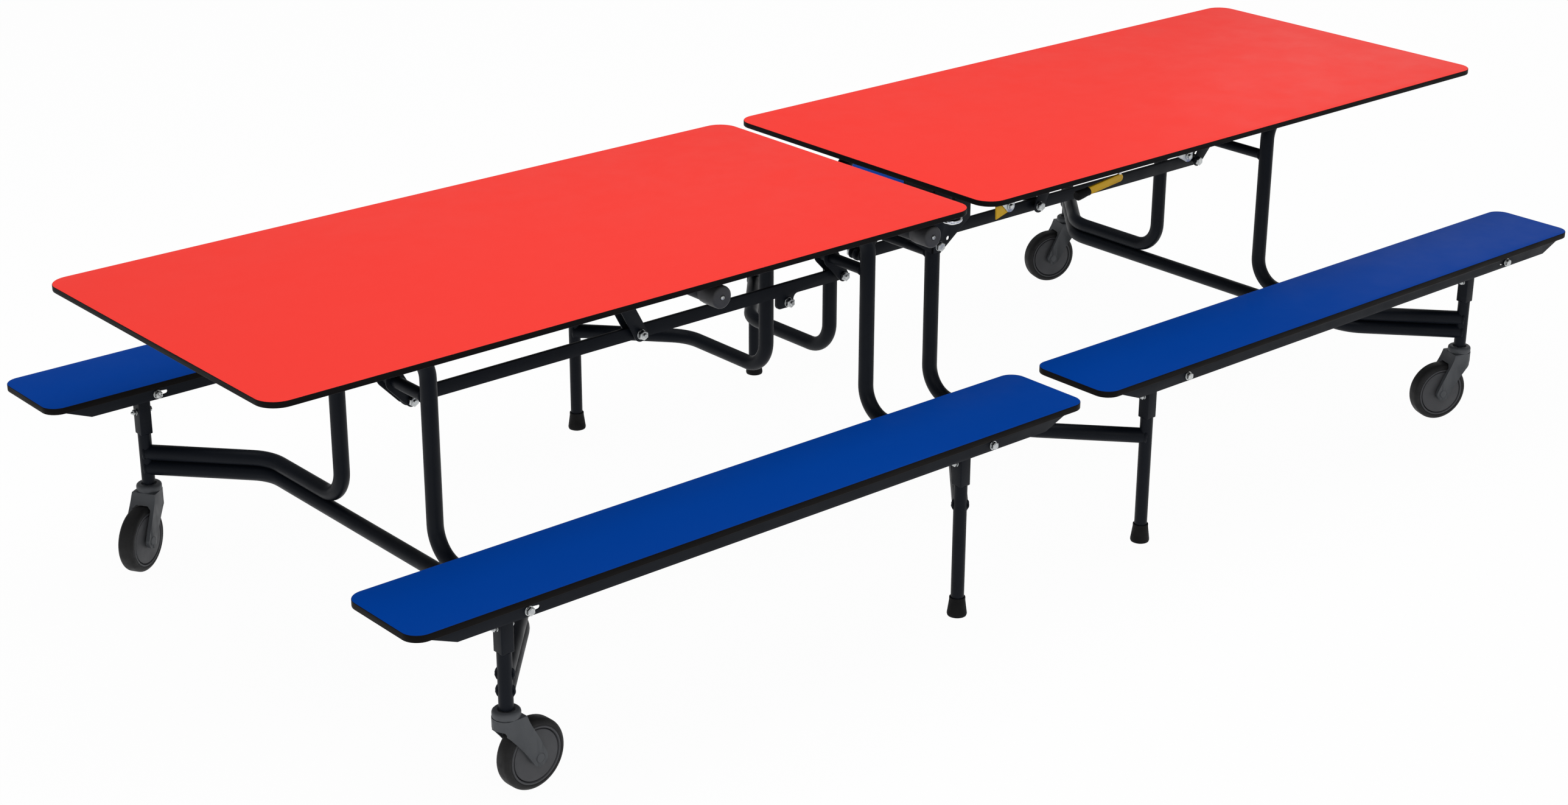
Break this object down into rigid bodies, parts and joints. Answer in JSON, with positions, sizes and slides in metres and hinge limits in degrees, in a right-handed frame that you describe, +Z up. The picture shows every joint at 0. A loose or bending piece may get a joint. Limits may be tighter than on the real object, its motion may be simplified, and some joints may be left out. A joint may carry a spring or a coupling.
{
  "type": "cafeteria folding table with benches",
  "caption": "Cafeteria folding table with red tops, blue attached benches, a black bent-tube frame, swivel casters at its ends and rubber feet at its middle",
  "frame": {"origin": "on the floor under the middle of the open table", "axes": "+X along the table to the right of the picture, -Y to the near side, +Z up"},
  "size_m": [3.05, 1.359, 0.685],
  "materials": {
    "black_steel": "satin black powder coat on steel",
    "red_laminate": "red laminate, low sheen, on a black-edged core",
    "blue_laminate": "blue laminate, low sheen, on a black-edged core",
    "black_rubber": "matt black rubber",
    "grey_fork": "matt grey moulded plastic",
    "dark_tread": "dark grey moulded tread",
    "yellow_paint": "glossy yellow paint on steel",
    "zinc": "bright zinc plating"
  },
  "bodies": {
    "left_end_frame": {"left_end_near_leg": "black_steel", "left_end_near_pivot_head": "black_steel", "left_end_far_leg": "black_steel", "left_end_far_pivot_head": "black_steel", "left_end_lower_tube": "black_steel", "left_end_cross_tube": "black_steel"},
    "left_top": {"left_table_top": "red_laminate", "left_end_hinge_channel": "black_steel", "left_inner_hinge_channel": "black_steel", "left_strut_anchor": "black_steel", "inner_bumper": "black_rubber", "outer_bumper": "black_rubber"},
    "centre_frame": {"left_inner_near_leg": "black_steel", "left_inner_near_pivot_head": "black_steel", "left_near_foot": "black_rubber", "left_inner_far_leg": "black_steel", "left_inner_far_pivot_head": "black_steel", "left_far_foot": "black_rubber", "left_inner_cross_tube": "black_steel", "right_inner_near_leg": "black_steel", "right_inner_near_pivot_head": "black_steel", "right_near_foot": "black_rubber", "right_inner_far_leg": "black_steel", "right_inner_far_pivot_head": "black_steel", "right_far_foot": "black_rubber", "right_inner_cross_tube": "black_steel", "centre_tie": "black_steel"},
    "left_near_bench": {"left_near_bench_top": "blue_laminate", "left_near_bench_pan": "black_steel"},
    "left_near_fork": {"left_near_caster_fork": "grey_fork"},
    "left_near_wheel": {"left_near_caster_wheel": "dark_tread"},
    "left_far_bench": {"left_far_bench_top": "blue_laminate", "left_far_bench_pan": "black_steel"},
    "left_far_fork": {"left_far_caster_fork": "grey_fork"},
    "left_far_wheel": {"left_far_caster_wheel": "dark_tread"},
    "left_rail": {"left_rail": "black_steel"},
    "left_strut": {"left_strut": "black_steel"},
    "right_end_frame": {"right_end_near_leg": "black_steel", "right_end_near_pivot_head": "black_steel", "right_end_far_leg": "black_steel", "right_end_far_pivot_head": "black_steel", "right_end_lower_tube": "black_steel", "right_end_cross_tube": "black_steel"},
    "right_top": {"right_table_top": "red_laminate", "right_end_hinge_channel": "black_steel", "right_inner_hinge_channel": "black_steel", "right_strut_anchor": "black_steel", "latch_lug": "zinc"},
    "right_near_bench": {"right_near_bench_top": "blue_laminate", "right_near_bench_pan": "black_steel"},
    "right_near_fork": {"right_near_caster_fork": "grey_fork"},
    "right_near_wheel": {"right_near_caster_wheel": "dark_tread"},
    "right_far_bench": {"right_far_bench_top": "blue_laminate", "right_far_bench_pan": "black_steel"},
    "right_far_fork": {"right_far_caster_fork": "grey_fork"},
    "right_far_wheel": {"right_far_caster_wheel": "dark_tread"},
    "right_rail": {"right_rail": "black_steel"},
    "right_strut": {"right_strut": "black_steel"},
    "latch": {"latch": "yellow_paint"},
    "release_lever": {"release_lever": "yellow_paint"}
  },
  "joints": [
    {"name": "fold", "type": "hinge", "parent": "left_end_frame", "child": "left_top", "pos_m": [-1.158, 0, 0.652], "axis": [0, -1, 0], "range_deg": [0, 82]},
    {"name": "left_centre_hinge", "type": "hinge", "parent": "left_top", "child": "centre_frame", "pos_m": [-0.15, 0, 0.652], "axis": [0, 1, 0], "range_deg": [0, 82]},
    {"name": "right_centre_hinge", "type": "hinge", "parent": "centre_frame", "child": "right_top", "pos_m": [0.15, 0, 0.652], "axis": [0, 1, 0], "range_deg": [0, 82]},
    {"name": "right_end_hinge", "type": "hinge", "parent": "right_top", "child": "right_end_frame", "pos_m": [1.158, 0, 0.652], "axis": [0, -1, 0], "range_deg": [0, 82]},
    {"name": "left_near_bench_hinge", "type": "hinge", "parent": "left_end_frame", "child": "left_near_bench", "pos_m": [-1.267, -0.584, 0.371], "axis": [0, -1, 0], "range_deg": [0, 82]},
    {"name": "left_far_bench_hinge", "type": "hinge", "parent": "left_end_frame", "child": "left_far_bench", "pos_m": [-1.267, 0.584, 0.371], "axis": [0, -1, 0], "range_deg": [0, 82]},
    {"name": "right_near_bench_hinge", "type": "hinge", "parent": "right_end_frame", "child": "right_near_bench", "pos_m": [1.267, -0.584, 0.371], "axis": [0, 1, 0], "range_deg": [0, 82]},
    {"name": "right_far_bench_hinge", "type": "hinge", "parent": "right_end_frame", "child": "right_far_bench", "pos_m": [1.267, 0.584, 0.371], "axis": [0, 1, 0], "range_deg": [0, 82]},
    {"name": "left_rail_hinge", "type": "hinge", "parent": "left_end_frame", "child": "left_rail", "pos_m": [-1.062, -0.031, 0.473], "axis": [0, -1, 0], "range_deg": [0, 82]},
    {"name": "right_rail_hinge", "type": "hinge", "parent": "right_end_frame", "child": "right_rail", "pos_m": [1.062, 0.031, 0.473], "axis": [0, 1, 0], "range_deg": [0, 82]},
    {"name": "left_strut_hinge", "type": "hinge", "parent": "left_rail", "child": "left_strut", "pos_m": [-0.558, -0.031, 0.473], "axis": [0, 1, 0], "range_deg": [0, 82]},
    {"name": "right_strut_hinge", "type": "hinge", "parent": "right_rail", "child": "right_strut", "pos_m": [0.558, 0.031, 0.473], "axis": [0, -1, 0], "range_deg": [0, 82]},
    {"name": "left_near_swivel", "type": "hinge", "parent": "left_end_frame", "child": "left_near_fork", "pos_m": [-1.257, -0.584, 0.16], "axis": [0, 0, 1], "continuous": true},
    {"name": "left_near_roll", "type": "hinge", "parent": "left_near_fork", "child": "left_near_wheel", "pos_m": [-1.21111, -0.58079, 0.0625], "axis": [-0.0698, 0.9976, 0], "continuous": true},
    {"name": "left_far_swivel", "type": "hinge", "parent": "left_end_frame", "child": "left_far_fork", "pos_m": [-1.257, 0.584, 0.16], "axis": [0, 0, 1], "continuous": true},
    {"name": "left_far_roll", "type": "hinge", "parent": "left_far_fork", "child": "left_far_wheel", "pos_m": [-1.29601, 0.55962, 0.0625], "axis": [0.5299, -0.848, 0], "continuous": true},
    {"name": "right_near_swivel", "type": "hinge", "parent": "right_end_frame", "child": "right_near_fork", "pos_m": [1.257, -0.584, 0.16], "axis": [0, 0, 1], "continuous": true},
    {"name": "right_near_roll", "type": "hinge", "parent": "right_near_fork", "child": "right_near_wheel", "pos_m": [1.21406, -0.56752, 0.0625], "axis": [-0.3584, -0.9336, 0], "continuous": true},
    {"name": "right_far_swivel", "type": "hinge", "parent": "right_end_frame", "child": "right_far_fork", "pos_m": [1.257, 0.584, 0.16], "axis": [0, 0, 1], "continuous": true},
    {"name": "right_far_roll", "type": "hinge", "parent": "right_far_fork", "child": "right_far_wheel", "pos_m": [1.21325, 0.59821, 0.0625], "axis": [-0.309, -0.9511, 0], "continuous": true},
    {"name": "lever_turn", "type": "hinge", "parent": "right_top", "child": "release_lever", "pos_m": [0.414, -0.334, 0.672], "axis": [0, 0, 1], "range_deg": [0, 25]},
    {"name": "latch_turn", "type": "hinge", "parent": "right_top", "child": "latch", "pos_m": [0.094, -0.342, 0.657], "axis": [0, -1, 0], "range_deg": [0, 25]}
  ],
  "couplings": [
    {"joint": "left_centre_hinge", "follows": "fold", "ratio": 1},
    {"joint": "right_centre_hinge", "follows": "fold", "ratio": 1},
    {"joint": "right_end_hinge", "follows": "fold", "ratio": 1},
    {"joint": "left_near_bench_hinge", "follows": "fold", "ratio": 1},
    {"joint": "left_far_bench_hinge", "follows": "fold", "ratio": 1},
    {"joint": "right_near_bench_hinge", "follows": "fold", "ratio": 1},
    {"joint": "right_far_bench_hinge", "follows": "fold", "ratio": 1},
    {"joint": "left_rail_hinge", "follows": "fold", "ratio": 1},
    {"joint": "right_rail_hinge", "follows": "fold", "ratio": 1},
    {"joint": "left_strut_hinge", "follows": "fold", "ratio": 1},
    {"joint": "right_strut_hinge", "follows": "fold", "ratio": 1},
    {"joint": "latch_turn", "follows": "lever_turn", "ratio": 1}
  ]
}
